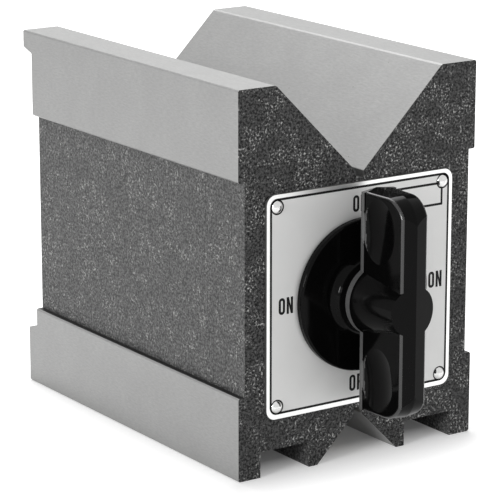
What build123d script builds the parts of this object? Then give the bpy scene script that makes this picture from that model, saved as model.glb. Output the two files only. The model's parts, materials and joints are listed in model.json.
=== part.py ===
"""Switchable magnetic V-block, 70 x 100 x 95 mm, with a turning magnet rotor and a bar knob.

Frame: origin at the middle of the block's base, +X to the right as seen from the dial,
+Y from the dial face to the rear, +Z up. All sizes are in millimetres and degrees.
"""

from build123d import *
from math import radians, sqrt, tan
import os

# Block, outside
block_width = 70.0
block_length = 100.0
block_height = 95.0
relief_slot_depth = 1.7  # slot at the root of each vee, at the separator's edge
foot_width = 6.3  # outer feet
inner_foot_width = 2.45  # narrow feet beside the base vee
notch_height = 6.4
top_rail_height = 22.0
bottom_rail_height = 20.8
side_recess_depth = 1.8  # painted side, behind the ground rails
end_recess_depth = 4.1  # rear face, behind the two end lips
top_lip_height = 4.3
vee_rim = 4.3  # iron left between the vee and the rear recess, square to the flank
end_recess_draft = 18.0  # slope of the recess's walls
edge_break = 0.35  # chamfer on the ground rails

# Joint between the two halves
separator_thickness = 2.2
dowel_diameter = 4.0
dowel_length = 20.0
dowel_pitch = 60.0

# Rotor bore and its closures
rotor_drop = 5.8  # axis below the block's middle height
bore_diameter = 38.0
upper_web = 9.3  # iron between the bore and the work vee's slot, which sets how deep the vee is
lower_web = 10.1  # iron between the bore and the base vee's slot, which sets the same there
front_wall = 10.0
bush_wall = 3.0
bush_flange_width = 3.5
front_flange_thickness = 1.5
rear_flange_thickness = 1.2
cover_thickness = 3.0
cover_register = 5.0  # spigot that centres the cover in the bore
cover_flange = 6.0  # beyond the bore, on each side
cover_margin = 0.5  # between the cover and the recess's walls above and below it
cover_corner_radius = 4.0
cover_bush_wall = 2.0  # cover behind the rear bush
cover_screw_inset = 5.0
cover_screw_length = 12.0

# Rotor
air_gap = 0.3
end_float = 0.2
cap_thickness = 6.0
magnet_thickness = 10.0
side_bar_thickness = 4.7
magnet_count = 3
magnet_gap = 0.3
shaft_diameter = 10.0
journal_diameter = 8.0
shaft_pin_diameter = 3.0
shaft_pin_inset = 0.6
cap_screw_spacing = 16.0
cap_screw_offset = 3.4  # screw's axis above the magnets
cap_screw_length = 14.0

# Countersunk screws, M3 in both places
screw_diameter = 3.0
screw_head_diameter = 6.0
socket_width = 2.0  # hexagon across flats
socket_depth = 1.1

# Dial plate
plate_size = 55.0
plate_thickness = 0.8
plate_corner_radius = 2.5
plate_hole_clearance = 1.0
rivet_inset = 3.0
rivet_head_diameter = 3.1
rivet_head_height = 0.9
rivet_shank_diameter = 1.9
rivet_length = 5.0

# Knob, distances along its axis from the dial plate's front
skirt_diameter = 37.8
skirt_gap = 0.3
skirt_thickness = 1.7
skirt_edge_radius = 0.5
hub_diameter = 17.2  # behind the land, and just in front of it
hub_tip_diameter = 11.9
hub_root_fillet = 2.2
knob_projection = 21.9  # plate front to the ridge of the handle
handle_clearance = 5.8  # plate front to the handle's rear face
handle_inset = 0.2  # the handle ends this far inside the dial plate's edges
handle_rear_width = 9.4
handle_front_width = 7.6
handle_ridge = 0.95  # height of the parting ridge above the front edges
handle_corner_radius = 7.0
handle_end_draft = 5.0
handle_rear_edge_radius = 0.4
land_depth = 1.6  # straight land round the rear edge of the handle and the hub
land_step = 0.2  # the land stands this proud of the sides behind and in front of it
handle_front_edge_radius = 0.8
scoop_length = 16.0
scoop_depth = 1.1
scoop_side_margin = 1.8
scoop_end_margin = 1.1
insert_wall = 2.0
insert_length = 11.0
knob_shaft_diameter = 8.0
shaft_flat_depth = 0.8
set_screw_diameter = 4.0
set_screw_distance = 6.7  # plate front to the screw's axis
set_screw_recess = 0.6
set_screw_socket = 2.0

# Clearances
running_clearance = 0.03  # radial, shaft in bush
seat_clearance = 0.02  # radial, fixed round fits
screw_clearance = 0.1  # radial, screws in their holes
hole_bottom_clearance = 0.5  # beyond the end of a screw, dowel or shaft

# Most that an edge of the handle leans and still counts as upright
upright_angle = 1.0

# Derived places
half_gap = separator_thickness / 2
front_face = -block_length / 2
rear_face = block_length / 2
end_recess_face = rear_face - end_recess_depth
lip_slope = end_recess_depth * tan(radians(end_recess_draft))
rotor_height = block_height / 2 - rotor_drop
bore_radius = bore_diameter / 2
vee_slot_floor = rotor_height + bore_radius + upper_web
vee_depth = block_height - vee_slot_floor + half_gap - relief_slot_depth
base_slot_ceiling = rotor_height - bore_radius - lower_web
base_vee_depth = base_slot_ceiling + half_gap - relief_slot_depth
cover_size = bore_diameter + 2 * cover_flange
bottom_lip_height = rotor_height - cover_size / 2 - cover_margin - lip_slope
bore_front = front_face + front_wall
cover_inner_face = end_recess_face - cover_register
rotor_front = bore_front + front_flange_thickness + end_float
rotor_rear = cover_inner_face - rear_flange_thickness - end_float
rotor_radius = bore_radius - air_gap
magnet_width = 2 * (rotor_radius - side_bar_thickness)
core_front = rotor_front + cap_thickness
core_rear = rotor_rear - cap_thickness
plate_front = front_face - plate_thickness
knob_rear = plate_front - skirt_gap
skirt_front = knob_rear - skirt_thickness
handle_rear = plate_front - handle_clearance
handle_length = plate_size - 2 * handle_inset
knob_tip = plate_front - knob_projection
shaft_shoulder = knob_rear
shaft_tip = shaft_shoulder - insert_length + hole_bottom_clearance

rotor_axis = Axis((0, 0, rotor_height), (0, 1, 0))
side_view = Plane(origin=(0, 0, rotor_height), x_dir=(0, 1, 0), z_dir=(1, 0, 0))


def front_view(y):
    """Plane across the block at y, looking from the dial: local X is +X and local Y is +Z."""
    return Plane.XZ.offset(-y)


def rotor_view(y):
    """The same plane with its origin on the rotor's axis."""
    return Plane(origin=(0, y, rotor_height), x_dir=(1, 0, 0), z_dir=(0, -1, 0))


def rear_view(y):
    """Plane on the rotor's axis that faces the rear."""
    return Plane(origin=(0, y, rotor_height), x_dir=(-1, 0, 0), z_dir=(0, 1, 0))


def turned(outline):
    """Solid turned about the rotor's axis from (distance along Y, radius) points."""
    with BuildPart() as turning:
        with BuildSketch(side_view):
            with BuildLine():
                Polyline(*outline, close=True)
            make_face()
        revolve(axis=rotor_axis)
    return turning.part


def countersunk_screw(length, clearance=0.0, socket=True):
    """Screw with its head's face at Z = 0 and its shank down -Z; a clearance makes its hole."""
    head = screw_head_diameter / 2 + clearance
    shank = screw_diameter / 2 + clearance
    with BuildPart() as screw:
        with BuildSketch(Plane.XZ):
            with BuildLine():
                Polyline(
                    (0, 0),
                    (head, 0),
                    (shank, shank - head),
                    (shank, -length),
                    (0, -length),
                    close=True,
                )
            make_face()
        revolve(axis=Axis.Z)
        if socket:
            with BuildSketch(Plane.XY):
                RegularPolygon(socket_width / 2, 6, major_radius=False)
            extrude(amount=-socket_depth, mode=Mode.SUBTRACT)
    return screw.part


def save(part, label):
    part.label = label
    export_step(part, f"parts/{label}.step")


os.makedirs("parts", exist_ok=True)

# Cutters shared by the two halves and the strips between them
rotor_bore = turned(
    [
        (bore_front, 0),
        (bore_front, bore_radius),
        (rear_face, bore_radius),
        (rear_face, 0),
    ]
)
front_bush_bore_radius = shaft_diameter / 2 + running_clearance
front_bush_radius = shaft_diameter / 2 + bush_wall
bush_hole = turned(
    [
        (front_face, 0),
        (front_face, front_bush_radius + seat_clearance),
        (bore_front, front_bush_radius + seat_clearance),
        (bore_front, 0),
    ]
)

with BuildPart() as end_recess:
    with BuildSketch(Plane.YZ):
        with BuildLine():
            Polyline(
                (rear_face, bottom_lip_height),
                (end_recess_face, bottom_lip_height + lip_slope),
                (end_recess_face, block_height - top_lip_height - lip_slope),
                (rear_face, block_height - top_lip_height),
                close=True,
            )
        make_face()
    extrude(amount=block_width, both=True)
    with BuildSketch(front_view(rear_face)):
        with BuildLine():
            recess_top = rotor_height + cover_size / 2 + cover_margin + lip_slope
            corner = recess_top - block_height + vee_depth + vee_rim * sqrt(2)
            Polyline(
                (-block_width, 0),
                (block_width, 0),
                (block_width, recess_top + block_width - corner),
                (corner, recess_top),
                (-corner, recess_top),
                (-block_width, recess_top + block_width - corner),
                close=True,
            )
        make_face()
    extrude(amount=end_recess_depth, taper=end_recess_draft, mode=Mode.INTERSECT)

upper_dowel_height = vee_slot_floor - upper_web / 2
lower_dowel_height = base_slot_ceiling + lower_web / 2
dowel_places = [
    Location((0, y, z), (0, 90, 0))
    for z in (upper_dowel_height, lower_dowel_height)
    for y in (-dowel_pitch / 2, dowel_pitch / 2)
]
with BuildPart() as dowel_holes:
    with Locations(*dowel_places):
        Cylinder(dowel_diameter / 2 + seat_clearance, dowel_length + 2 * hole_bottom_clearance)

cover_rear = end_recess_face + cover_thickness
cover_screw_pitch = cover_size - 2 * cover_screw_inset
cover_screw_depth = cover_screw_length + hole_bottom_clearance
cover_screw_hole = countersunk_screw(cover_screw_depth, screw_clearance, socket=False)
with BuildPart() as cover_screw_holes:
    with Locations(rear_view(cover_rear)):
        with GridLocations(cover_screw_pitch, cover_screw_pitch, 2, 2):
            add(cover_screw_hole)

rivet_pitch = plate_size - 2 * rivet_inset
with BuildPart() as rivet_holes:
    with Locations(rotor_view(plate_front)):
        with GridLocations(rivet_pitch, rivet_pitch, 2, 2):
            Cylinder(
                rivet_shank_diameter / 2 + seat_clearance,
                rivet_length + hole_bottom_clearance,
                align=(Align.CENTER, Align.CENTER, Align.MAX),
            )

# Pole blocks: one profile, drawn on the right half and mirrored
with BuildPart() as right_pole_block:
    with BuildSketch(front_view(front_face)):
        with BuildLine():
            side = block_width / 2
            recessed_side = side - side_recess_depth
            notch_outside = side - foot_width
            notch_inside = base_vee_depth + inner_foot_width
            Polyline(
                (half_gap, base_vee_depth - half_gap),
                (base_vee_depth, 0),
                (notch_inside, 0),
                (notch_inside, notch_height),
                (notch_outside, notch_height),
                (notch_outside, 0),
                (side, 0),
                (side, bottom_rail_height),
                (recessed_side, bottom_rail_height),
                (recessed_side, block_height - top_rail_height),
                (side, block_height - top_rail_height),
                (side, block_height),
                (vee_depth, block_height),
                (half_gap, block_height - vee_depth + half_gap),
                close=True,
            )
        make_face()
    extrude(amount=-block_length)
    long_edges = right_pole_block.edges().filter_by(Axis.Y)
    rail_edges = long_edges.filter_by_position(Axis.X, side, side)
    land_edges = long_edges.filter_by_position(Axis.X, vee_depth, vee_depth)
    chamfer(rail_edges + land_edges.group_by(Axis.Z)[-1], edge_break)
    add(end_recess.part, mode=Mode.SUBTRACT)
    add(rotor_bore, mode=Mode.SUBTRACT)
    add(bush_hole, mode=Mode.SUBTRACT)
    add(dowel_holes.part, mode=Mode.SUBTRACT)
    add(cover_screw_holes.part, mode=Mode.SUBTRACT)
    add(rivet_holes.part, mode=Mode.SUBTRACT)
save(right_pole_block.part, "right_pole_block")

with BuildPart() as left_pole_block:
    mirror(right_pole_block.part, about=Plane.YZ)
save(left_pole_block.part, "left_pole_block")


def separator(low, high):
    """Brass strip between the halves, cut to the bore, the bush, the dowels and the rear recess."""
    with BuildPart() as strip:
        with BuildSketch(front_view(front_face)):
            with Locations((0, (low + high) / 2)):
                Rectangle(separator_thickness, high - low)
        extrude(amount=-block_length)
        add(end_recess.part, mode=Mode.SUBTRACT)
        add(rotor_bore, mode=Mode.SUBTRACT)
        add(bush_hole, mode=Mode.SUBTRACT)
        add(dowel_holes.part, mode=Mode.SUBTRACT)
    return strip.part


save(separator(rotor_height, vee_slot_floor), "upper_separator")
save(separator(base_slot_ceiling, rotor_height), "lower_separator")

with BuildPart() as separator_dowels:
    with Locations(*dowel_places):
        Cylinder(dowel_diameter / 2, dowel_length)
save(separator_dowels.part, "separator_dowels")

# Bearings and rear cover
front_bush = turned(
    [
        (front_face, front_bush_bore_radius),
        (front_face, front_bush_radius),
        (bore_front, front_bush_radius),
        (bore_front, front_bush_radius + bush_flange_width),
        (bore_front + front_flange_thickness, front_bush_radius + bush_flange_width),
        (bore_front + front_flange_thickness, front_bush_bore_radius),
    ]
)
save(front_bush, "front_bush")

rear_bush_bore_radius = journal_diameter / 2 + running_clearance
rear_bush_radius = journal_diameter / 2 + bush_wall
rear_bush_flange_face = cover_inner_face - rear_flange_thickness
rear_bush_depth = cover_register + cover_thickness - cover_bush_wall
journal_tip = cover_inner_face + rear_bush_depth - hole_bottom_clearance
rear_bush = turned(
    [
        (rear_bush_flange_face, rear_bush_bore_radius),
        (rear_bush_flange_face, rear_bush_radius + bush_flange_width),
        (cover_inner_face, rear_bush_radius + bush_flange_width),
        (cover_inner_face, rear_bush_radius),
        (cover_inner_face + rear_bush_depth, rear_bush_radius),
        (cover_inner_face + rear_bush_depth, rear_bush_bore_radius),
    ]
)
save(rear_bush, "rear_bush")

with BuildPart() as rear_cover:
    with BuildSketch(rear_view(end_recess_face)):
        RectangleRounded(cover_size, cover_size, cover_corner_radius)
    extrude(amount=cover_thickness)
    chamfer(rear_cover.faces().sort_by(Axis.Y)[-1].edges(), edge_break)
    with BuildSketch(rotor_view(end_recess_face)):
        Circle(bore_radius - seat_clearance)
    extrude(amount=cover_register)
    with BuildSketch(rear_view(cover_inner_face)):
        Circle(rear_bush_radius + seat_clearance)
    extrude(amount=rear_bush_depth, mode=Mode.SUBTRACT)
    add(cover_screw_holes.part, mode=Mode.SUBTRACT)
save(rear_cover.part, "rear_cover")

with BuildPart() as rear_cover_screws:
    with Locations(rear_view(cover_rear)):
        with GridLocations(cover_screw_pitch, cover_screw_pitch, 2, 2):
            add(countersunk_screw(cover_screw_length))
save(rear_cover_screws.part, "rear_cover_screws")

# Dial plate and its rivets
plate_hole_radius = shaft_diameter / 2 + plate_hole_clearance
with BuildPart() as nameplate:
    with BuildSketch(rotor_view(front_face)):
        RectangleRounded(plate_size, plate_size, plate_corner_radius)
        Circle(plate_hole_radius, mode=Mode.SUBTRACT)
    extrude(amount=plate_thickness)
    add(rivet_holes.part, mode=Mode.SUBTRACT)
save(nameplate.part, "nameplate")

with BuildPart() as drive_rivet:
    with BuildSketch(Plane.XZ):
        with BuildLine():
            head_radius = rivet_head_diameter / 2
            shank_radius = rivet_shank_diameter / 2
            dome_radius = (head_radius**2 + rivet_head_height**2) / (2 * rivet_head_height)
            RadiusArc((0, rivet_head_height), (head_radius, 0), dome_radius)
            Polyline((head_radius, 0), (shank_radius, 0), (shank_radius, -rivet_length), (0, -rivet_length))
            Line((0, -rivet_length), (0, rivet_head_height))
        make_face()
    revolve(axis=Axis.Z)
with BuildPart() as nameplate_rivets:
    with Locations(rotor_view(plate_front)):
        with GridLocations(rivet_pitch, rivet_pitch, 2, 2):
            add(drive_rivet.part)
save(nameplate_rivets.part, "nameplate_rivets")

# Rotor core: iron segments, magnets and brass bars between the two caps
cap_faces = (rotor_view(rotor_front), rear_view(rotor_rear))
cap_screw_rise = magnet_thickness + 2 * cap_screw_offset
cap_screw_depth = cap_screw_length + hole_bottom_clearance
cap_screw_hole = countersunk_screw(cap_screw_depth, screw_clearance, socket=False)
with BuildPart() as cap_screw_holes:
    for cap_face in cap_faces:
        with Locations(cap_face):
            with GridLocations(cap_screw_spacing, cap_screw_rise, 2, 2):
                add(cap_screw_hole)

with BuildPart() as rotor_north_pole:
    with BuildSketch(rotor_view(core_front)):
        Circle(rotor_radius)
        with Locations((0, magnet_thickness / 2)):
            Rectangle(
                2 * rotor_radius,
                2 * rotor_radius,
                align=(Align.CENTER, Align.MIN),
                mode=Mode.INTERSECT,
            )
    extrude(amount=core_front - core_rear)
    add(cap_screw_holes.part, mode=Mode.SUBTRACT)
save(rotor_north_pole.part, "rotor_north_pole")

with BuildPart() as rotor_south_pole:
    mirror(rotor_north_pole.part, about=Plane.XY.offset(rotor_height))
save(rotor_south_pole.part, "rotor_south_pole")

magnet_pitch = (core_rear - core_front + magnet_gap) / magnet_count
with BuildPart() as rotor_magnets:
    for index in range(magnet_count):
        with BuildSketch(rotor_view(core_front + index * magnet_pitch)):
            Rectangle(magnet_width, magnet_thickness)
        extrude(amount=magnet_gap - magnet_pitch)
save(rotor_magnets.part, "rotor_magnets")

with BuildPart() as rotor_side_bars:
    with BuildSketch(rotor_view(core_front)):
        Circle(rotor_radius)
        Rectangle(2 * rotor_radius, magnet_thickness, mode=Mode.INTERSECT)
        Rectangle(magnet_width, magnet_thickness, mode=Mode.SUBTRACT)
    extrude(amount=core_front - core_rear)
save(rotor_side_bars.part, "rotor_side_bars")

# Rotor caps, shaft and pin
shaft_pin_place = Location((0, (rotor_front + core_front) / 2, rotor_height), (0, 90, 0))
shaft_pin_length = 2 * (rotor_radius - shaft_pin_inset)
with BuildPart() as shaft_pin:
    with Locations(shaft_pin_place):
        Cylinder(shaft_pin_diameter / 2, shaft_pin_length)
    chamfer(shaft_pin.edges(), edge_break)
save(shaft_pin.part, "shaft_pin")

with BuildPart() as shaft_pin_hole:
    with Locations(shaft_pin_place):
        Cylinder(shaft_pin_diameter / 2 + seat_clearance, bore_diameter)

with BuildPart() as rotor_front_cap:
    with BuildSketch(rotor_view(rotor_front)):
        Circle(rotor_radius)
        Circle(shaft_diameter / 2 + seat_clearance, mode=Mode.SUBTRACT)
    extrude(amount=-cap_thickness)
    add(cap_screw_holes.part, mode=Mode.SUBTRACT)
    add(shaft_pin_hole.part, mode=Mode.SUBTRACT)
save(rotor_front_cap.part, "rotor_front_cap")

with BuildPart() as rotor_rear_cap:
    with BuildSketch(rear_view(core_rear)):
        Circle(rotor_radius)
    extrude(amount=cap_thickness)
    with BuildSketch(rear_view(rotor_rear)):
        Circle(journal_diameter / 2)
    extrude(amount=journal_tip - rotor_rear)
    chamfer(rotor_rear_cap.faces().sort_by(Axis.Y)[-1].edges(), edge_break)
    add(cap_screw_holes.part, mode=Mode.SUBTRACT)
save(rotor_rear_cap.part, "rotor_rear_cap")

with BuildPart() as rotor_cap_screws:
    for cap_face in cap_faces:
        with Locations(cap_face):
            with GridLocations(cap_screw_spacing, cap_screw_rise, 2, 2):
                add(countersunk_screw(cap_screw_length))
save(rotor_cap_screws.part, "rotor_cap_screws")

flat_from_axis = knob_shaft_diameter / 2 - shaft_flat_depth
with BuildPart() as drive_shaft:
    with BuildSketch(rotor_view(core_front)):
        Circle(shaft_diameter / 2)
    extrude(amount=core_front - shaft_shoulder)
    with BuildSketch(rotor_view(shaft_shoulder)):
        Circle(knob_shaft_diameter / 2)
        with Locations((flat_from_axis, 0)):
            Rectangle(
                shaft_diameter,
                shaft_diameter,
                align=(Align.MIN, Align.CENTER),
                mode=Mode.SUBTRACT,
            )
    extrude(amount=shaft_shoulder - shaft_tip)
    chamfer(drive_shaft.faces().sort_by(Axis.Y)[0].edges(), edge_break)
    add(shaft_pin_hole.part, mode=Mode.SUBTRACT)
save(drive_shaft.part, "drive_shaft")

# Knob: skirt and hub are turned, the handle is moulded in two halves that meet at a ridge
insert_radius = knob_shaft_diameter / 2 + insert_wall
set_screw_axis = plate_front - set_screw_distance
skirt_radius = skirt_diameter / 2
half_handle = handle_length / 2
handle_front = knob_tip + handle_ridge
ridge_slope = 2 * handle_ridge / handle_front_width
land_front = handle_rear - land_depth
land_radius = hub_diameter / 2 + land_step
half_land = handle_rear_width / 2
handle_outline = [
    (-half_land, handle_rear),
    (half_land, handle_rear),
    (half_land, land_front),
    (half_land - land_step, land_front),
    (handle_front_width / 2, handle_front),
    (0, knob_tip),
    (-handle_front_width / 2, handle_front),
    (land_step - half_land, land_front),
    (-half_land, land_front),
]
ridge_foot = knob_tip + ridge_slope * skirt_diameter
ridge_outline = [
    (-skirt_diameter, knob_rear),
    (skirt_diameter, knob_rear),
    (skirt_diameter, ridge_foot),
    (0, knob_tip),
    (-skirt_diameter, ridge_foot),
]


def column(outline):
    """Tall prism over (X, Y) points, longer than the knob's handle at both ends."""
    with BuildPart() as prism:
        with BuildSketch(Plane.XY.offset(rotor_height - handle_length)):
            with BuildLine():
                Polyline(*outline, close=True)
            make_face()
        extrude(amount=2 * handle_length)
    return prism.part


# Barrel that sinks one oval finger scoop into the handle's right side
scoop_place = (handle_rear + handle_front) / 2
scoop_width = handle_rear - handle_front - 2 * scoop_side_margin
scoop_pitch = handle_length - scoop_length - 2 * scoop_end_margin
side_at_scoop = (handle_rear_width + handle_front_width) / 4
barrel_radius = (scoop_width**2 / 4 + scoop_depth**2) / (2 * scoop_depth)
barrel_axis = side_at_scoop - scoop_depth + barrel_radius
with BuildPart() as scoop_barrel:
    with BuildSketch(Plane.XZ):
        with BuildLine():
            ThreePointArc(
                (side_at_scoop, -scoop_length / 2),
                (side_at_scoop - scoop_depth, 0),
                (side_at_scoop, scoop_length / 2),
            )
            Polyline(
                (side_at_scoop, scoop_length / 2),
                (barrel_axis, scoop_length / 2),
                (barrel_axis, -scoop_length / 2),
                (side_at_scoop, -scoop_length / 2),
            )
        make_face()
    revolve(axis=Axis((barrel_axis, 0, 0), (0, 0, 1)))

with BuildPart() as finger_scoops:
    for scoop_height in (rotor_height - scoop_pitch / 2, rotor_height + scoop_pitch / 2):
        with Locations((0, scoop_place, scoop_height)):
            add(scoop_barrel.part)
    mirror(about=Plane.YZ)

with BuildPart() as handle:
    with BuildSketch(side_view):
        with BuildLine():
            front_corner = knob_tip + handle_corner_radius
            end_corner = half_handle - handle_corner_radius
            Line((handle_rear, -half_handle), (handle_rear, half_handle))
            Line((handle_rear, half_handle), (front_corner, half_handle))
            RadiusArc((front_corner, half_handle), (knob_tip, end_corner), -handle_corner_radius)
            Line((knob_tip, end_corner), (knob_tip, -end_corner))
            RadiusArc((knob_tip, -end_corner), (front_corner, -half_handle), -handle_corner_radius)
            Line((front_corner, -half_handle), (handle_rear, -half_handle))
        make_face()
    extrude(amount=handle_rear_width / 2, both=True, taper=handle_end_draft)
    add(column(handle_outline), mode=Mode.INTERSECT)
    upright_edges = handle.edges().filter_by(Axis.Z, tolerance=upright_angle)
    fillet(upright_edges.group_by(Axis.Y)[-1], handle_rear_edge_radius)
    side_faces = handle.faces().sort_by(SortBy.AREA)[-2:]
    clear_of_land = land_front - handle_front_edge_radius
    front_edges = side_faces.edges().filter_by(lambda edge: edge.center().Y < clear_of_land)
    fillet(front_edges, handle_front_edge_radius)
    add(finger_scoops.part, mode=Mode.SUBTRACT)

set_screw_length = land_radius - flat_from_axis - set_screw_recess
screw_view = Plane(origin=(0, set_screw_axis, rotor_height), x_dir=(0, 1, 0), z_dir=(1, 0, 0))
with BuildPart() as set_screw_hole:
    with BuildSketch(screw_view):
        Circle(set_screw_diameter / 2 + screw_clearance)
    extrude(amount=hub_diameter)

with BuildPart() as knob:
    add(
        turned(
            [
                (knob_rear, 0),
                (knob_rear, skirt_radius),
                (skirt_front, skirt_radius),
                (skirt_front, hub_diameter / 2),
                (handle_rear, hub_diameter / 2),
                (handle_rear, land_radius),
                (land_front, land_radius),
                (land_front, hub_diameter / 2),
                (knob_tip, hub_tip_diameter / 2),
                (knob_tip, 0),
            ]
        )
    )
    skirt_rings = knob.edges().filter_by_position(Axis.Y, skirt_front, skirt_front)
    fillet(skirt_rings.sort_by(SortBy.RADIUS)[-1], skirt_edge_radius)
    hub_rings = knob.edges().filter_by_position(Axis.Y, skirt_front, skirt_front)
    fillet(hub_rings.sort_by(SortBy.RADIUS)[0], hub_root_fillet)
    add(column(ridge_outline), mode=Mode.INTERSECT)
    add(handle.part)
    with BuildSketch(rotor_view(knob_rear)):
        Circle(insert_radius + seat_clearance)
    extrude(amount=insert_length, mode=Mode.SUBTRACT)
    add(set_screw_hole.part, mode=Mode.SUBTRACT)
save(knob.part, "knob")

with BuildPart() as knob_insert:
    with BuildSketch(rotor_view(shaft_shoulder)):
        Circle(insert_radius)
        Circle(knob_shaft_diameter / 2 + seat_clearance, mode=Mode.SUBTRACT)
    extrude(amount=insert_length)
    add(set_screw_hole.part, mode=Mode.SUBTRACT)
save(knob_insert.part, "knob_insert")

with BuildPart() as knob_set_screw:
    with BuildSketch(screw_view.offset(flat_from_axis)):
        Circle(set_screw_diameter / 2)
    extrude(amount=set_screw_length)
    chamfer(knob_set_screw.edges(), edge_break)
    with BuildSketch(screw_view.offset(flat_from_axis + set_screw_length)):
        RegularPolygon(set_screw_socket / 2, 6, major_radius=False)
    extrude(amount=-socket_depth, mode=Mode.SUBTRACT)
save(knob_set_screw.part, "knob_set_screw")
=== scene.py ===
# %% [markdown]
# # A switchable magnetic V-block
#
# A magnetic V-block holds a round bar in a ground vee. Two iron halves stand on each side of thin brass
# separators, and a rotor with magnets turns between them. The black bar knob turns the rotor: with the bar
# upright the block is off, and with the bar level it is on.
#
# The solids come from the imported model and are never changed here. This lesson gives them their finishes,
# prints the dial, sets the studio and places the camera. All lengths are in metres, and `MM` turns a size in
# millimetres into metres.

import json
import math

import bmesh
import bpy
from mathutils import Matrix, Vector


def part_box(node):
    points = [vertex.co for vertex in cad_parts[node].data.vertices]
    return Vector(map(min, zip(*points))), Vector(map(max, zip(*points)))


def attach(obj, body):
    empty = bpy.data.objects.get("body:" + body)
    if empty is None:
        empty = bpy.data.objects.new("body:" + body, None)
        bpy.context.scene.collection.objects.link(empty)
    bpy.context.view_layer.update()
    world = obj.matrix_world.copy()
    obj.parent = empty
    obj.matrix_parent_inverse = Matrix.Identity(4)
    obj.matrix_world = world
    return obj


MM = 0.001
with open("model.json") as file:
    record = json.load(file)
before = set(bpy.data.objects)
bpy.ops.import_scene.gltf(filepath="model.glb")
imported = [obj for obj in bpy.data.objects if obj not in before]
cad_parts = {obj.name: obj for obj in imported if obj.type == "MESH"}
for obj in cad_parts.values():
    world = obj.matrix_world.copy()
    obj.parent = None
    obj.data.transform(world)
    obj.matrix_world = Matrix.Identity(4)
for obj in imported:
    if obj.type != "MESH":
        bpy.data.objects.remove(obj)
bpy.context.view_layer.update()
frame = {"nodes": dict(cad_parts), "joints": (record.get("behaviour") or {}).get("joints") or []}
scene = bpy.context.scene


# %% [markdown]
# ## Helpers for materials
#
# A colour is given as an sRGB hex code, and a shader wants linear light, so one function turns the first into
# the second. Another adds a shader node with its settings, its numbers and its links in one line, so that a
# material reads like a list of what makes its surface. It finds a socket by its name, or by its number where
# a node has two sockets of one name. The last function starts a material from plain values.

# %% Helpers for materials
def linear(hex_code):
    """Turns an sRGB hex code into the linear colour that a shader takes."""
    shares = [int(hex_code[start:start + 2], 16) / 255 for start in (1, 3, 5)]
    return [s / 12.92 if s <= 0.04045 else ((s + 0.055) / 1.055) ** 2.4 for s in shares] + [1.0]


def socket(sockets, key=0):
    """Finds a socket by its name, or by its number, among those that the node has in use."""
    in_use = [s for s in sockets if s.enabled]
    return in_use[key] if isinstance(key, int) else next(s for s in in_use if s.name == key)


def feed(tree, node, links):
    """Links a source to each socket that is named. A node given as a source means its first output."""
    for key, source in links.items():
        if isinstance(source, bpy.types.Node):
            source = socket(source.outputs)
        tree.links.new(source, socket(node.inputs, key))


def add_node(tree, kind, links=None, values=None, **settings):
    """Adds a node: settings are its properties, values fill its sockets and links feed them."""
    node = tree.nodes.new("ShaderNode" + kind)
    for name, setting in settings.items():
        setattr(node, name, setting)
    for key, value in (values or {}).items():
        socket(node.inputs, key).default_value = value
    feed(tree, node, links or {})
    return node


def new_material(name, colour, metallic, roughness, ior=1.5):
    """A principled material with plain values on its sockets. Returns it, its nodes and its shader."""
    material = bpy.data.materials.new(name)
    material.use_nodes = True
    tree = material.node_tree
    shader = next(n for n in tree.nodes if n.type == "BSDF_PRINCIPLED")
    shader.inputs["Base Color"].default_value = linear(colour)
    shader.inputs["Metallic"].default_value = metallic
    shader.inputs["Roughness"].default_value = roughness
    shader.inputs["IOR"].default_value = ior
    material.diffuse_color = linear(colour)
    return material, tree, shader


print("mid grey #808080 is", round(linear("#808080")[0], 3), "in linear light")


# %% [markdown]
# ## Ground iron
#
# The vee, the top lands, the side rails and the feet are soft iron, ground on a surface grinder. The wheel
# runs along the block and leaves fine straight scratches a few hundredths of a millimetre apart. That is far
# too fine to show here, so the scratches are drawn 0.35 mm apart. Slow cloudy patches and a few small pits in
# the casting break up the grey. Iron is a metal, so its colour is the colour of its reflection. A bevel of
# 0.3 mm on the shading normal gives every edge the thin bright line of a stoned corner.

# %% Ground iron
SCRATCH_PITCH = 0.35 * MM
SCRATCH_LENGTH = 1.6 * MM
SCRATCH_DEPTH = 0.01 * MM
CLOUD_SIZE = 9 * MM
PIT_PITCH = 3.2 * MM
EDGE_BREAK = 0.3 * MM

ground_iron, tree, shader = new_material("ground_iron", "#B0B0AF", metallic=1.0, roughness=0.38)
place = add_node(tree, "TexCoord").outputs["Object"]
along = add_node(tree, "Mapping", {"Vector": place}, {
    "Scale": (1 / SCRATCH_PITCH, 1 / SCRATCH_LENGTH, 1 / SCRATCH_PITCH)})
scratch = add_node(tree, "TexNoise", {"Vector": along}, {"Scale": 1.0, "Detail": 3.0, "Roughness": 0.6})
cloud = add_node(tree, "TexNoise", {"Vector": place}, {"Scale": 1 / CLOUD_SIZE, "Detail": 4.0})
grain = add_node(tree, "TexNoise", {"Vector": place}, {"Scale": 1 / SCRATCH_PITCH, "Detail": 2.0})
pit_cell = add_node(tree, "TexVoronoi", {"Vector": place}, {"Scale": 1 / PIT_PITCH})
pit = add_node(tree, "MapRange", {"Value": pit_cell.outputs["Distance"]}, {
    "From Min": 0.035, "From Max": 0.06, "To Min": 1.0, "To Max": 0.0})
chosen = add_node(tree, "SeparateColor", {"Color": pit_cell.outputs["Color"]})
few = add_node(tree, "MapRange", {"Value": chosen.outputs["Red"]}, {
    "From Min": 0.62, "From Max": 0.66, "To Min": 0.0, "To Max": 0.55})
pits = add_node(tree, "Math", {0: pit, 1: few}, operation="MULTIPLY")
tone = add_node(tree, "Mix", {"Factor": cloud}, {
    "A": linear("#9A9A99"), "B": linear("#ABABAA")}, data_type="RGBA")
lines = add_node(tree, "Mix", {"Factor": scratch, "A": tone}, {"B": linear("#888888")}, data_type="RGBA")
speck = add_node(tree, "Mix", {"Factor": pits, "A": lines}, {"B": linear("#3C3B3A")}, data_type="RGBA")
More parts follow.
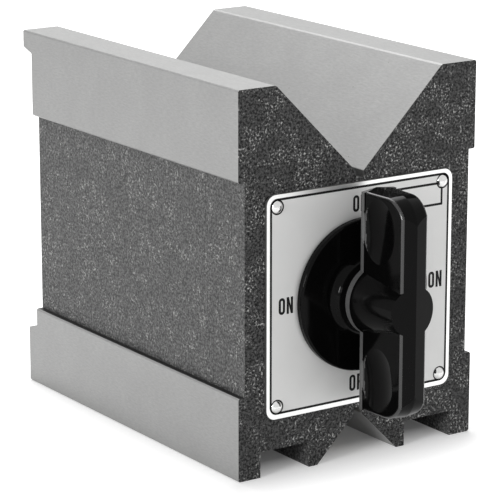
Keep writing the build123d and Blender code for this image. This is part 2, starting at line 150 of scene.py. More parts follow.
rough = add_node(tree, "MapRange", {"Value": grain}, {"To Min": 0.38, "To Max": 0.52})
edge = add_node(tree, "Bevel", values={"Radius": EDGE_BREAK}, samples=4)
relief = add_node(tree, "Bump", {"Height": scratch, "Normal": edge}, {
    "Strength": 0.15, "Distance": SCRATCH_DEPTH})
feed(tree, shader, {"Base Color": speck, "Roughness": rough, "Normal": relief})
print("ground iron: scratches", SCRATCH_PITCH / MM, "mm apart")


# %% [markdown]
# ## Dark grey casting enamel
#
# The faces that are not ground are painted with a dark grey enamel over the rough skin of the casting. The
# paint follows the sand grain, so the surface is a close field of bumps about half a millimetre across. One
# noise at the size of the grain drives the bump and the colour: the hollows get a darker colour, which is
# painted shade. A second, finer noise picks the few bumps that glint: they get a light colour, which is a
# painted highlight, and a slow noise gathers them in clusters. A stretched noise draws the short dark cracks
# that run along the block.
#
# One function makes three tones of it. The front's copy is darker, which is painted shade, and has brighter
# glints, which are painted highlights. The copy for the corner above the bottom rail is nearly black, which
# paints the shade in that corner. The paint is worn matt, so the specular level of the first two is low.

# %% Casting enamel
GRAIN_SIZE = 0.65 * MM
GRAIN_DEPTH = 0.12 * MM
GLINT_SIZE = 0.55 * MM
GLINT_SHARE = 0.8
CLUSTER_SIZE = 4 * MM
CRACK_SIZE = 0.6 * MM
CRACK_STRETCH = 2.5
PATCH_SIZE = 12 * MM


def casting_enamel(name, hollow_colour, bump_colour, painted_glint_colour, glint_ramp=(0.56, 0.67), gloss=0.5):
    """Enamel over cast skin with painted shade in its hollows. Painted glints start at glint_ramp[0], full at
    glint_ramp[1].
    """
    material, tree, shader = new_material(name, bump_colour, metallic=0.0, roughness=0.42)
    shader.inputs["Specular IOR Level"].default_value = gloss
    place = add_node(tree, "TexCoord").outputs["Object"]
    sand = add_node(tree, "TexNoise", {"Vector": place}, {
        "Scale": 1 / GRAIN_SIZE, "Detail": 3.0, "Roughness": 0.65})
    hollow = add_node(tree, "MapRange", {"Value": sand}, {"From Min": 0.40, "From Max": 0.60})
    # Painted shade: the hollows of the grain get the darker colour.
    skin = add_node(tree, "Mix", {"Factor": hollow}, {
        "A": linear(hollow_colour), "B": linear(bump_colour)}, data_type="RGBA")

    shine = add_node(tree, "TexNoise", {"Vector": place}, {"Scale": 1 / GLINT_SIZE, "Detail": 3.0})
    glint = add_node(tree, "MapRange", {"Value": shine}, {
        "From Min": glint_ramp[0], "From Max": glint_ramp[1], "To Min": 0.0, "To Max": GLINT_SHARE})
    cluster = add_node(tree, "TexNoise", {"Vector": place}, {"Scale": 1 / CLUSTER_SIZE, "Detail": 2.0})
    crowd = add_node(tree, "MapRange", {"Value": cluster}, {
        "From Min": 0.42, "From Max": 0.60, "To Min": 0.1, "To Max": 1.0})
    shown = add_node(tree, "Math", {0: glint, 1: crowd}, operation="MULTIPLY")
    # Painted highlight: the glints are a light colour mixed into the skin.
    bright = add_node(tree, "Mix", {"Factor": shown, "A": skin}, {
        "B": linear(painted_glint_colour)}, data_type="RGBA")

    along = add_node(tree, "Mapping", {"Vector": place}, {"Scale": (1.0, 1 / CRACK_STRETCH, 1.0)})
    thin = add_node(tree, "TexNoise", {"Vector": along}, {"Scale": 1 / CRACK_SIZE, "Detail": 2.0})
    crack = add_node(tree, "MapRange", {"Value": thin}, {
        "From Min": 0.60, "From Max": 0.67, "To Min": 0.0, "To Max": 0.8})
    cracked = add_node(tree, "Mix", {"Factor": crack, "A": bright}, {
        "B": linear(hollow_colour)}, data_type="RGBA")

    patch = add_node(tree, "TexNoise", {"Vector": place}, {"Scale": 1 / PATCH_SIZE, "Detail": 2.0})
    rough = add_node(tree, "MapRange", {"Value": patch}, {"To Min": 0.36, "To Max": 0.52})
    relief = add_node(tree, "Bump", {"Height": sand}, {"Strength": 0.8, "Distance": GRAIN_DEPTH})
    feed(tree, shader, {"Base Color": cracked, "Roughness": rough, "Normal": relief})
    return material


enamel = casting_enamel("casting_enamel", "#242424", "#606060", "#A8A8A6", gloss=0.25)
# Darker copies, which paint shade: the front's, with brighter painted glints, and the corner's, nearly black.
front_enamel_painted_shade = casting_enamel("front_casting_enamel_painted_shade", "#0A0A0A", "#545454", "#F0F0EE", (0.54, 0.71), 0.15)
corner_enamel_painted_shade = casting_enamel("corner_casting_enamel_painted_shade", "#020202", "#0A0A0A", "#141414")
print("casting enamel: grain", GRAIN_SIZE / MM, "mm")


# %% [markdown]
# ## Turned and milled metals
#
# The inner parts and the rear cover are turned or milled and left bare. A lathe leaves rings around the axis
# of the part, and a mill leaves nearly straight arcs. Both are drawn with one noise that is stretched along
# the cut, so one function makes them all from a colour, a roughness and the pitch of the cut in millimetres.
# The turned ones read their distance from the rotor's axis, and the others are stretched across the block.
# Real tool marks are two or three times finer, which would not show.

# %% Turned and milled metals
AXIS_HEIGHT = frame["joints"][0]["pos_m"][2]
MARK_DEPTH = 0.01 * MM
MARK_STRETCH = 0.03


def cut_metal(name, colour, dark, roughness, pitch_mm, turned):
    """A bare metal with tool marks: rings about the rotor's axis if turned, straight ones otherwise."""
    material, tree, shader = new_material(name, colour, metallic=1.0, roughness=roughness)
    place = add_node(tree, "TexCoord").outputs["Object"]
    centred = add_node(tree, "Mapping", {"Vector": place}, {"Location": (0, 0, -AXIS_HEIGHT)})
    if turned:
        flat = add_node(tree, "VectorMath", {0: centred}, {1: (1, 0, 1)}, operation="MULTIPLY")
        reach = add_node(tree, "VectorMath", {"Vector": flat}, operation="LENGTH").outputs["Value"]
        depth = add_node(tree, "SeparateXYZ", {"Vector": centred}).outputs["Y"]
        cut = add_node(tree, "CombineXYZ", {"X": reach, "Y": depth})
    else:
        cut = add_node(tree, "Mapping", {"Vector": centred}, {"Scale": (MARK_STRETCH, 1.0, 1.0)})
    marks = add_node(tree, "TexNoise", {"Vector": cut}, {"Scale": 1 / (pitch_mm * MM), "Detail": 2.0})
    tone = add_node(tree, "Mix", {"Factor": marks}, {
        "A": linear(colour), "B": linear(dark)}, data_type="RGBA")
    relief = add_node(tree, "Bump", {"Height": marks}, {"Strength": 0.3, "Distance": MARK_DEPTH})
    feed(tree, shader, {"Base Color": tone, "Normal": relief})
    return material


bored_iron = cut_metal("bored_iron", "#A0A09F", "#7C7C7B", 0.40, 0.4, True)
turned_iron = cut_metal("turned_iron", "#A6A6A6", "#858585", 0.34, 0.4, True)
milled_brass = cut_metal("milled_brass", "#D9BC6E", "#B4954C", 0.34, 0.5, False)
turned_brass = cut_metal("turned_brass", "#D9BC6E", "#B4954C", 0.30, 0.4, True)
bearing_bronze = cut_metal("bearing_bronze", "#B98A55", "#916437", 0.36, 0.4, True)
magnet_alloy = cut_metal("ground_magnet_alloy", "#6E6E70", "#525254", 0.45, 0.4, False)
stainless_steel = cut_metal("turned_stainless_steel", "#C9C9C8", "#A9A9A8", 0.24, 0.35, True)
milled_aluminium = cut_metal("milled_aluminium", "#C6C8CA", "#A9ABAE", 0.36, 0.6, False)
print("tool marks on", [m.name for m in bpy.data.materials if "turned" in m.name or "milled" in m.name])


# %% [markdown]
# ## Small bright steel: screws and rivets
#
# The screws are zinc plated, which is a thin clear grey with a slight cloud in it. The drive rivets that hold
# the dial are bright steel with a smooth domed head. Both are small, so a soft cloud in the colour and in the
# roughness is all that the eye can find on them. Other finishes have such clouds too, so they get a function
# of their own.

# %% Screws and rivets
SMOOTHEST, ROUGHEST = 0.8, 1.3


def clouded(tree, shader, size, light, dark, detail=3.0):
    """Gives the shader soft clouds of two tones, a size across, and returns their noise."""
    place = add_node(tree, "TexCoord").outputs["Object"]
    cloud = add_node(tree, "TexNoise", {"Vector": place}, {"Scale": 1 / size, "Detail": detail})
    tone = add_node(tree, "Mix", {"Factor": cloud}, {
        "A": linear(light), "B": linear(dark)}, data_type="RGBA")
    feed(tree, shader, {"Base Color": tone})
    return cloud


def small_steel(name, colour, dark, roughness, cloud_mm):
    """A small bright steel part: a soft cloud in its colour and its roughness."""
    material, tree, shader = new_material(name, colour, metallic=1.0, roughness=roughness)
    cloud = clouded(tree, shader, cloud_mm * MM, colour, dark)
    rough = add_node(tree, "MapRange", {"Value": cloud}, {
        "To Min": roughness * SMOOTHEST, "To Max": roughness * ROUGHEST})
    feed(tree, shader, {"Roughness": rough})
    return material


zinc_steel = small_steel("zinc_plated_steel", "#B9BBBE", "#9A9C9F", 0.32, 0.8)
rivet_steel = small_steel("bright_rivet_steel", "#E6E6E5", "#C8C8C7", 0.16, 0.9)
print("small steels:", zinc_steel.name, rivet_steel.name)


# %% [markdown]
# ## The dial's aluminium and its black print
#
# The dial is thin sheet aluminium. Its middle has a satin face, made by a fine etch, that looks an even pale
# grey. A clear matt lacquer over it scatters part of the light, so it is set as part metal and part plain
# diffuse. The rim outside the printed line is left bare and bright, and the sheared edge is dull. The etch is
# finer than the eye can part, so it is drawn at 0.3 mm with very little strength.
#
# The marks are a black screen ink. It lies on the metal a few hundredths of a millimetre thick, slightly
# uneven, and it dries matt, so its specular level is low.

# %% Dial materials
ETCH_SIZE = 0.3 * MM
ETCH_DEPTH = 0.01 * MM
SHEET_CLOUD = 7 * MM
FILM_SIZE = 0.5 * MM


def etched_aluminium(name, colour, dark, metallic, roughness, strength):
    """Sheet aluminium with slow clouds in its colour and a fine etch in its relief."""
    material, tree, shader = new_material(name, colour, metallic, roughness)
    clouded(tree, shader, SHEET_CLOUD, colour, dark)
    place = add_node(tree, "TexCoord").outputs["Object"]
    etch = add_node(tree, "TexNoise", {"Vector": place}, {"Scale": 1 / ETCH_SIZE, "Detail": 2.0})
    relief = add_node(tree, "Bump", {"Height": etch}, {"Strength": strength, "Distance": ETCH_DEPTH})
    feed(tree, shader, {"Normal": relief})
    return material


satin_aluminium = etched_aluminium("satin_aluminium", "#E4E4E3", "#DCDCDB", 0.4, 0.55, 0.25)
bright_aluminium = etched_aluminium("bright_rim_aluminium", "#F6F6F5", "#EEEEED", 1.0, 0.35, 0.2)
sheared_aluminium = etched_aluminium("sheared_edge_aluminium", "#8E8E8D", "#7C7C7B", 1.0, 0.5, 0.3)

black_ink, tree, shader = new_material("black_screen_ink", "#080808", metallic=0.0, roughness=0.6)
shader.inputs["Specular IOR Level"].default_value = 0.2
clouded(tree, shader, FILM_SIZE, "#050505", "#0C0C0C", detail=2.0)
print("dial: satin field, bright rim, dull edge, black ink")


# %% [markdown]
# ## Black phenolic for the knob
#
# The knob is moulded from a black phenolic resin in a polished steel mould, so it comes out glossy. Its index
# is about 1.6. A moulding is never quite flat: slow waves a few millimetres long bend the reflections, and
# fine handling scratches soften them. Both are a weak bump under a sharp gloss. The room is white all round
# and would turn the black to grey, so the specular level is set low.

# %% Black phenolic
PHENOLIC_IOR = 1.6
WAVE_SIZE = 7 * MM
WAVE_DEPTH = 0.12 * MM
HANDLING_SIZE = 0.5 * MM
HANDLING_DEPTH = 0.004 * MM

phenolic, tree, shader = new_material("black_phenolic", "#060606", 0.0, 0.1, PHENOLIC_IOR)
shader.inputs["Specular IOR Level"].default_value = 0.055
wear = clouded(tree, shader, HANDLING_SIZE, "#040404", "#0A0A0A")
place = add_node(tree, "TexCoord").outputs["Object"]
wave = add_node(tree, "TexNoise", {"Vector": place}, {"Scale": 1 / WAVE_SIZE, "Detail": 1.0})
gloss = add_node(tree, "MapRange", {"Value": wear}, {"To Min": 0.05, "To Max": 0.14})
slow = add_node(tree, "Bump", {"Height": wave}, {"Strength": 0.35, "Distance": WAVE_DEPTH})
fine = add_node(tree, "Bump", {"Height": wear, "Normal": slow}, {
    "Strength": 0.2, "Distance": HANDLING_DEPTH})
feed(tree, shader, {"Roughness": gloss, "Normal": fine})
print("phenolic: waves", WAVE_SIZE / MM, "mm long")


# %% [markdown]
# ## Phenolic that is filed, and painted highlights
#
# Where the flash of the mould is filed off, the resin is cut open: it is a dull dark grey, with file marks.
# That grey is also a painted highlight, the light band along the rear edge. The handle's edges stay smooth
# and get a lighter colour than the rest, which is a painted highlight.

# %% Filed phenolic and painted edge highlights
FILE_MARK_DEPTH = 0.02 * MM

# The filed land's grey, which also paints the highlight band along the rear edge.
trimmed_phenolic_and_highlight, tree, shader = new_material("trimmed_phenolic_and_highlight", "#4A4A4A", 0.0, 0.55, PHENOLIC_IOR)
wear = clouded(tree, shader, HANDLING_SIZE, "#3A3A3A", "#565656")
relief = add_node(tree, "Bump", {"Height": wear}, {"Strength": 0.3, "Distance": FILE_MARK_DEPTH})
feed(tree, shader, {"Normal": relief})

# Painted highlight: a lighter colour on the handle's rounded front edges.
phenolic_painted_highlight, tree, shader = new_material("phenolic_edge_painted_highlight", "#202020", 0.0, 0.2, PHENOLIC_IOR)
wear = clouded(tree, shader, HANDLING_SIZE, "#101010", "#303030")
rub = add_node(tree, "MapRange", {"Value": wear}, {"To Min": 0.12, "To Max": 0.26})
feed(tree, shader, {"Roughness": rub})
print("phenolic:", trimmed_phenolic_and_highlight.name, "and", phenolic_painted_highlight.name)


# %% [markdown]
# ## Finishes on the solid pieces
#
# Most pieces have one finish, which takes the place of the plain one that they came with. The dial plate also
# has its dull sheared edge: those are the faces that don't look to the front or the rear. The knob gets two
# more finishes in the next cell, and the iron halves are dressed in the one after it.

# %% Finishes by piece
FINISHES = {
    "upper_separator": milled_brass, "lower_separator": milled_brass, "separator_dowels": turned_brass,
    "front_bush": bearing_bronze, "rear_bush": bearing_bronze,
    "rear_cover": milled_aluminium, "rear_cover_screws": zinc_steel,
    "nameplate": bright_aluminium, "nameplate_rivets": rivet_steel,
    "rotor_north_pole": turned_iron, "rotor_south_pole": turned_iron, "rotor_magnets": magnet_alloy,
    "rotor_side_bars": milled_brass, "rotor_front_cap": turned_brass, "rotor_rear_cap": turned_brass,
    "rotor_cap_screws": zinc_steel, "drive_shaft": stainless_steel, "shaft_pin": stainless_steel,
    "knob": phenolic, "knob_insert": turned_brass, "knob_set_screw": zinc_steel,
}
EDGE_ON = 0.5

for name, finish in FINISHES.items():
    slots = frame["nodes"][name].data.materials
    slots.clear()
    slots.append(finish)

mesh = frame["nodes"]["nameplate"].data
mesh.materials.append(sheared_aluminium)
for face in mesh.polygons:
    face.material_index = int(abs(face.normal.y) < EDGE_ON)
print(len(FINISHES), "pieces have their main finish")


# %% [markdown]
# ## The knob's land and its edges
#
# The knob comes out of a mould with a thin flash round its rear edge. The flash is filed off, which leaves a
# narrow matt land, whose grey is also a painted highlight along the rear edge. The rounded front edges of the
# handle get a lighter colour and a stronger reflection, which paint their highlights. Both are told apart by
# place and direction, face by face, so that no shape is added for them. A rounded edge is one whose faces
# lean to the side by more than LEAN_FROM and less than LEAN_TO.

# %% The knob's trimmed land and painted edge highlights
GLOSSY, TRIMMED_AND_HIGHLIGHT, EDGE_HIGHLIGHT = range(3)
KNOB_FINISHES = (phenolic, trimmed_phenolic_and_highlight, phenolic_painted_highlight)
CLOSE = 0.15 * MM
LAND_FRONT, LAND_REAR = -58.2 * MM, -56.6 * MM
HUB_REACH = 8.65 * MM
END_REACH = 20 * MM
LEAN_FROM, LEAN_TO = 0.25, 0.93


def knob_finish_of(centre, normal):
    """The finish of one face of the knob: the trimmed land and the rounded front edges get painted
    highlights.
    """
    height = centre.z - AXIS_HEIGHT
    if LAND_FRONT + CLOSE < centre.y < LAND_REAR:
        outer = math.hypot(centre.x, height) > HUB_REACH and abs(normal.y) < EDGE_ON
        return TRIMMED_AND_HIGHLIGHT if outer else GLOSSY
    rounded_edge = LEAN_FROM < abs(normal.x) < LEAN_TO and centre.y < LAND_FRONT
    outside = normal.y < -LEAN_FROM or abs(height) > END_REACH
    return EDGE_HIGHLIGHT if rounded_edge and outside else GLOSSY


mesh = frame["nodes"]["knob"].data
for finish in KNOB_FINISHES[1:]:
    mesh.materials.append(finish)
for face in mesh.polygons:
    face.material_index = knob_finish_of(face.center, face.normal)
counts = [sum(face.material_index == i for face in mesh.polygons) for i in range(len(KNOB_FINISHES))]
print("knob, glossy, trimmed and rubbed faces:", counts)


# %% [markdown]
# ## Finishes of the iron halves
#
# After painting, the block goes on the grinder, which bares every face that has to be true: rails, lands,
# vee, feet and lips. The bore is turned. The rest keeps its enamel: the front, the recess in the side with
# its ledges, the recess in the rear with its sloping walls, and the notches under the base. Each face is told
# apart by where it lies and which way it looks. The front gets a darker copy of the enamel, which is painted
# shade, and the narrow corner above the bottom rail a nearly black one, which paints the shade in that
# corner.

# %% Ground, painted and bored faces of the iron halves
GROUND, PAINTED, BORED, FRONT, CORNER = range(5)
IRON_FINISHES = (ground_iron, enamel, bored_iron, front_enamel_painted_shade, corner_enamel_painted_shade)
SQUARE, SLOPING = 0.9, 0.2
half_low, half_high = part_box("right_pole_block")
FRONT_Y = half_low.y
REAR_Y = half_high.y
SIDE_X = half_high.x
BORE_REACH = 19.6 * MM
SIDE_RECESS = 1.8 * MM
REAR_RECESS = 4.1 * MM
NOTCH_LOW, NOTCH_TOP = 0.6 * MM, 6.4 * MM
NOTCH_NEAR, NOTCH_FAR = 14.3 * MM, 28.9 * MM
LEDGE_LOW, LEDGE_HIGH = 12.8 * MM, half_high.z - 6.4 * MM


def finish_of(centre, normal):
    """The finish of one face of an iron half, from its middle and its direction."""
    x, y, z = abs(centre.x), centre.y, centre.z
    level = abs(normal.z) > SQUARE
    if math.hypot(x, z - AXIS_HEIGHT) < BORE_REACH and FRONT_Y + CLOSE < y < REAR_Y - REAR_RECESS:
        return BORED
    # The front takes the darker copy of the enamel: painted shade.
    if y < FRONT_Y + CLOSE and normal.y < -SQUARE:
        return FRONT
    ledge = level and x > SIDE_X - SIDE_RECESS and LEDGE_LOW < z < LEDGE_HIGH
    # The corner above the bottom rail takes the nearly black copy: painted shade.
    if ledge and normal.z > 0 and z < AXIS_HEIGHT:
        return CORNER
    side = SIDE_X - SIDE_RECESS - CLOSE < x < SIDE_X - 2 * CLOSE and abs(normal.x) > SQUARE
    rear = REAR_Y - REAR_RECESS - CLOSE < y < REAR_Y - 2 * CLOSE and normal.y > SLOPING
    wall = level and y > REAR_Y - REAR_RECESS and NOTCH_TOP < z < half_high.z - CLOSE
    notch = NOTCH_NEAR < x < NOTCH_FAR and NOTCH_LOW < z < NOTCH_TOP + CLOSE
    return PAINTED if ledge or side or rear or wall or notch else GROUND


for name in ("left_pole_block", "right_pole_block"):
    mesh = frame["nodes"][name].data
    mesh.materials.clear()
    for finish in IRON_FINISHES:
        mesh.materials.append(finish)
    for face in mesh.polygons:
        face.material_index = finish_of(face.center, face.normal)
    counts = [sum(face.material_index == i for face in mesh.polygons) for i in range(len(IRON_FINISHES))]
    print(name, "ground, painted, bored, front and corner faces:", counts)


# %% [markdown]
# ## The ends of the separators
#
# The halves are painted when they are joined, so the paint also covers the brass where it comes out at both
# ends. The floor of the slot under the vee is made dark with the same enamel.

# %% Paint on the separators
SLOT_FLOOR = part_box("upper_separator")[1].z

for name in ("upper_separator", "lower_separator"):
    mesh = frame["nodes"][name].data
    # The separators take the front's darker copy of the enamel, which is painted shade.
    mesh.materials.append(front_enamel_painted_shade)
    for face in mesh.polygons:
        at_front = face.center.y < FRONT_Y + CLOSE
        at_rear = face.center.y > REAR_Y - REAR_RECESS - CLOSE and face.normal.y > SLOPING
        # The floor of the slot is darkened with the same enamel.
        in_slot = face.center.z > SLOT_FLOOR - CLOSE
        face.material_index = int(at_front or at_rear or in_slot)
    print(name, "painted faces:", sum(face.material_index for face in mesh.polygons))


# %% [markdown]
# ## The dial's print
#
# The print on the dial is a black line round the edge, the words ON and OFF twice each, and an empty box at
# the top right. Each is a real thin piece, 0.02 mm thick, made from its outline in millimetres. A ring needs
# two outlines with the same number of points, so that a strip of faces joins them, and a letter with no hole
# is one face that is pushed out.

# %% Outlines
PLATE_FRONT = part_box("nameplate")[0].y
INK = 0.02 * MM


def rounded(left, low, right, high, radius, steps=6):
    """Corners of a rounded rectangle in millimetres, anticlockwise from the lower right."""
    middles = ((right - radius, low + radius), (right - radius, high - radius),
               (left + radius, high - radius), (left + radius, low + radius))
    points = []
    for turn, (x, z) in enumerate(middles):
        for step in range(steps + 1):
            angle = math.radians(90 * (turn - 1 + step / steps))
            points.append((x + radius * math.cos(angle), z + radius * math.sin(angle)))
    return points


def add_print(mesh, outer, inner=None, front=PLATE_FRONT - INK):
    """Adds one thin closed solid on the plate: a ring if inner is given, else a filled shape."""
    loops = [[[mesh.verts.new((x * MM, y, z * MM)) for x, z in loop] for y in (front, PLATE_FRONT)]
             for loop in (outer, inner) if loop]
    for near, far in loops:
        for i in range(len(near)):
            mesh.faces.new((near[i - 1], near[i], far[i], far[i - 1]))
    if inner:
        for side in range(2):
            a, b = loops[0][side], loops[1][side]
            for i in range(len(a)):
                mesh.faces.new((a[i - 1], a[i], b[i], b[i - 1]))
    else:
        mesh.faces.new(loops[0][0])
        mesh.faces.new(loops[0][1])


def finish_piece(name, mesh, material, body):
    """Turns the mesh into an object with its faces outward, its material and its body."""
    bmesh.ops.recalc_face_normals(mesh, faces=mesh.faces)
    data = bpy.data.meshes.new(name)
    mesh.to_mesh(data)
    mesh.free()
    data.materials.append(material)
    piece = bpy.data.objects.new(name, data)
    scene.collection.objects.link(piece)
    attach(piece, body)


print("the plate's face is at y", round(PLATE_FRONT / MM, 2), "mm")


# %% [markdown]
# ## Field, line and box
#
# The satin field lies half a film lower than the ink, so that the two never share a plane. It ends under the
# middle of the line. The line is a ring between two rounded rectangles, and the empty box is a small ring of
# the same kind. Each rectangle is given by its left, low, right and high sides.

# %% Field, line and box
LINE = 0.58
FIELD = (-26.6, 15.3, 26.6, 68.3)
LINE_OUTER, FIELD_CORNER, LINE_INNER = 2.0, 1.7, 1.5
BOX = (5.6, 60.3, 24.6, 66.1)
BOX_OUTER, BOX_INNER, BOX_STEPS = 0.2, 0.05, 2


def inset(rectangle, depth, radius, steps=6):
    """The outline of a rectangle with rounded corners, smaller by depth on every side."""
    left, low, right, high = rectangle
    return rounded(left + depth, low + depth, right - depth, high - depth, radius, steps)


mesh = bmesh.new()
add_print(mesh, inset(FIELD, LINE / 2, FIELD_CORNER), front=PLATE_FRONT - INK / 2)
finish_piece("dial_field", mesh, satin_aluminium, "block")

mesh = bmesh.new()
add_print(mesh, inset(FIELD, 0, LINE_OUTER), inset(FIELD, LINE, LINE_INNER))
finish_piece("dial_border", mesh, black_ink, "block")

mesh = bmesh.new()
add_print(mesh, inset(BOX, 0, BOX_OUTER, BOX_STEPS), inset(BOX, LINE, BOX_INNER, BOX_STEPS))
finish_piece("dial_blank_box", mesh, black_ink, "block")
print("field", FIELD, "box", BOX)


# %% [markdown]
# ## Dark rings round the rivets
#
# A rivet's head never sits quite flat, and the thin gap under its edge lies in shade. A narrow black ring
# round each head is that shade, painted, so that it shows from every side.

# %% Dark rings round the rivets
RIVET_RING = 1.85
RIVET_HEAD = 1.56
RIVET_HOLE = 1.4
rivets_low, rivets_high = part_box("nameplate_rivets")

mesh = bmesh.new()
for x in (rivets_low.x / MM + RIVET_HEAD, rivets_high.x / MM - RIVET_HEAD):
    for z in (rivets_low.z / MM + RIVET_HEAD, rivets_high.z / MM - RIVET_HEAD):
        add_print(mesh, *[rounded(x - reach, z - reach, x + reach, z + reach, reach)
                          for reach in (RIVET_RING, RIVET_HOLE)])
# The rings are painted shadow in the black ink.
finish_piece("dial_rivet_shadows", mesh, black_ink, "block")
print("rings of", RIVET_RING * 2, "mm round the rivets")


# %% [markdown]
# ## The words ON and OFF
#
# The letters are a narrow bold sans, 4.1 mm high. An O is a ring with straight sides and round ends. The N
# and the F are single outlines. They are set one by one, a fixed pitch apart, as a sign writer spaces them.
# Each word has its own middle, because a printed plate is never quite even.

# %% Words
HIGH, WIDE, STROKE, PITCH = 4.1, 1.85, 0.66, 2.3
DIAGONAL = 1.9
BAR = 0.66
F_BAR, F_REACH = HIGH * 0.42, WIDE * 0.85
LETTERS = {
    "O": (rounded(0, 0, WIDE, HIGH, WIDE / 2),
          rounded(STROKE, STROKE, WIDE - STROKE, HIGH - STROKE, WIDE / 2 - STROKE)),
    "N": ([(0, 0), (STROKE, 0), (STROKE, HIGH - DIAGONAL), (WIDE - STROKE, 0), (WIDE, 0), (WIDE, HIGH),
           (WIDE - STROKE, HIGH), (WIDE - STROKE, DIAGONAL), (STROKE, HIGH), (0, HIGH)], None),
    "F": ([(0, 0), (STROKE, 0), (STROKE, F_BAR), (F_REACH, F_BAR), (F_REACH, F_BAR + BAR),
           (STROKE, F_BAR + BAR), (STROKE, HIGH - BAR), (WIDE, HIGH - BAR), (WIDE, HIGH), (0, HIGH)], None),
}
WORDS = [("ON", -22.0, 41.9), ("ON", 22.7, 41.7), ("OFF", 0.7, 64.05), ("OFF", 0.1, 19.4)]

mesh = bmesh.new()
for word, middle_x, middle_z in WORDS:
    start = middle_x - (PITCH * (len(word) - 1) + WIDE) / 2
    for place_in_word, letter in enumerate(word):
        shift = start + PITCH * place_in_word
        add_print(mesh, *[[(x + shift, z + middle_z - HIGH / 2) for x, z in loop]
                          for loop in LETTERS[letter] if loop])
finish_piece("dial_words", mesh, black_ink, "block")
print("words", [word for word, x, z in WORDS])


# %% [markdown]
# ## Floor
#
# The object stands on a plain white paper sweep, as in a catalogue photograph. The floor is a wide sheet, set
# a hair below the feet.

# %% Floor
FLOOR_REACH = 6.0
FLOOR_GAP = 0.05 * MM
FLOOR_SQUARES = 8

sheet = bmesh.new()
bmesh.ops.create_grid(sheet, x_segments=FLOOR_SQUARES, y_segments=FLOOR_SQUARES, size=FLOOR_REACH)
floor_data = bpy.data.meshes.new("studio_floor")
sheet.to_mesh(floor_data)
sheet.free()
floor = bpy.data.objects.new("studio_floor", floor_data)
floor.location.z = -FLOOR_GAP
scene.collection.objects.link(floor)
print("floor", FLOOR_REACH * 2, "m wide")


# %% [markdown]
# ## White paper
#
# The paper has a small glow of its own for the camera, for reflections and through clear things, so that it
# is white and still keeps the shadow under the block. No more light falls on the object for it. The glow
# fades out inside the block's footprint, which paints shade on the floor under the block: the larger of a
# point's two shares of the block's half width and half length tells how near it is. Far off, where the lamps
# reach less, the glow grows a little.

# %% White paper
NEAR_FLOOR, FAR_FLOOR = 100 * MM, 800 * MM
UNDER_BLOCK, BESIDE_BLOCK = 0.8, 1.25
UNDER_GLOW, BESIDE_GLOW, FAR_GLOW = 0.05, 0.60, 0.10


def seen_directly(tree):
    """Adds nodes that give 1 for rays of the camera, reflections and clear things, and 0 for the rest."""
    ray = add_node(tree, "LightPath")
    seen = add_node(tree, "Math", {0: ray.outputs["Is Camera Ray"], 1: ray.outputs["Is Glossy Ray"]},
                    operation="MAXIMUM")
    return add_node(tree, "Math", {0: seen, 1: ray.outputs["Is Transmission Ray"]}, operation="MAXIMUM")


paper = bpy.data.materials.new("white_paper_sweep")
paper.use_nodes = True
tree = paper.node_tree
tree.nodes.clear()
place = add_node(tree, "NewGeometry").outputs["Position"]
across = add_node(tree, "VectorMath", {0: place}, operation="ABSOLUTE")
share = add_node(tree, "Mapping", {"Vector": across}, {"Scale": (1 / SIDE_X, 1 / REAR_Y, 0.0)})
sides = add_node(tree, "SeparateXYZ", {"Vector": share})
footprint = add_node(tree, "Math", {0: sides.outputs["X"], 1: sides.outputs["Y"]}, operation="MAXIMUM")
# Painted shade: the glow drops from BESIDE_GLOW to UNDER_GLOW under the block.
near = add_node(tree, "MapRange", {"Value": footprint}, {
    "From Min": UNDER_BLOCK, "From Max": BESIDE_BLOCK, "To Min": UNDER_GLOW, "To Max": BESIDE_GLOW})
distance = add_node(tree, "VectorMath", {0: place}, operation="LENGTH").outputs["Value"]
far = add_node(tree, "MapRange", {"Value": distance}, {
    "From Min": NEAR_FLOOR, "From Max": FAR_FLOOR, "To Min": 0.0, "To Max": FAR_GLOW})
whole = add_node(tree, "Math", {0: near, 1: far}, operation="ADD")
glow = add_node(tree, "Math", {0: seen_directly(tree), 1: whole}, operation="MULTIPLY")
matt = add_node(tree, "BsdfDiffuse", values={"Color": linear("#F0F0F0")})
light = add_node(tree, "Emission", {"Strength": glow}, {"Color": linear("#FFFFFF")})
both = add_node(tree, "AddShader", {0: matt, 1: light})
add_node(tree, "OutputMaterial", {"Surface": both})
floor_data.materials.append(paper)
print("the paper glows from", UNDER_GLOW, "under the block to", BESIDE_GLOW, "beside it")


# %% [markdown]
# ## World
#
# The world lights the object from all sides at about half of white, and gives the camera, reflections and
# clear things pure white. In this way the background is white and no extra light falls on the object.

# %% World
ROOM_LIGHT = 0.55

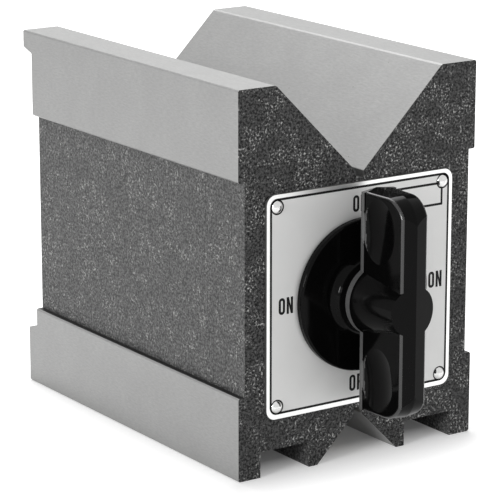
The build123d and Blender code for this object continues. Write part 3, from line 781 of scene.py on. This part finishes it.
world = bpy.data.worlds.new("studio")
scene.world = world
world.use_nodes = True
tree = world.node_tree
tree.nodes.clear()
room = add_node(tree, "Background", values={"Color": linear("#FFFFFF"), "Strength": ROOM_LIGHT})
white = add_node(tree, "Background", values={"Color": linear("#FFFFFF"), "Strength": 1.0})
choice = add_node(tree, "MixShader", {"Fac": seen_directly(tree), 1: room, 2: white})
add_node(tree, "OutputWorld", {"Surface": choice})
print("world is white to the camera and to reflections")


# %% [markdown]
# ## Lamps
#
# Two square lamps give form. The key lamp is small and stands low on the left, so that it lights the side
# more than the front and leaves bright points on the black knob. The top lamp is wide and stands behind,
# where its reflection brightens the lands and the flanks of the vee.

# %% Lamps
MIDDLE = (0, 0, 0.045)


def add_lamp(name, place, target, size, watts):
    """Adds a square soft lamp at place that looks at target."""
    data = bpy.data.lights.new(name, "AREA")
    data.size = size
    data.energy = watts
    lamp = bpy.data.objects.new(name, data)
    lamp.location = place
    lamp.rotation_euler = (Vector(target) - Vector(place)).to_track_quat("-Z", "Y").to_euler()
    lamp.visible_camera = False
    scene.collection.objects.link(lamp)


add_lamp("key_lamp", (-0.86, -0.28, 0.26), MIDDLE, size=0.22, watts=3.5)
add_lamp("top_lamp", (0.20, 0.55, 0.90), MIDDLE, size=0.8, watts=5.3)


# %% [markdown]
# ## Camera
#
# The photograph was taken with a long lens from a little above and to the left. A long lens keeps the far end
# of the block nearly as large as the near end. The place and the focal length were found by matching the
# block's corners to the picture. A camera looks along its own minus Z, so it is turned until that axis points
# away from the direction of the angles.

# %% Camera
AZIMUTH, ELEVATION = math.radians(-34.19), math.radians(14.44)
CAMERA_PLACE = (-0.3652, -0.5409, 0.2096)
FOCAL_LENGTH, SENSOR_WIDTH = 189.0, 36.0
NEAREST, FARTHEST = 0.05, 50.0

lens = bpy.data.cameras.new("camera")
lens.lens = FOCAL_LENGTH
lens.sensor_width = SENSOR_WIDTH
lens.clip_start = NEAREST
lens.clip_end = FARTHEST
camera = bpy.data.objects.new("camera", lens)
camera.location = CAMERA_PLACE
back = Vector((math.sin(AZIMUTH) * math.cos(ELEVATION), -math.cos(AZIMUTH) * math.cos(ELEVATION),
               math.sin(ELEVATION)))
camera.rotation_euler = (-back).to_track_quat("-Z", "Y").to_euler()
scene.collection.objects.link(camera)
scene.camera = camera
scene.view_settings.view_transform = "Standard"
print("camera at", [round(v, 3) for v in camera.location])
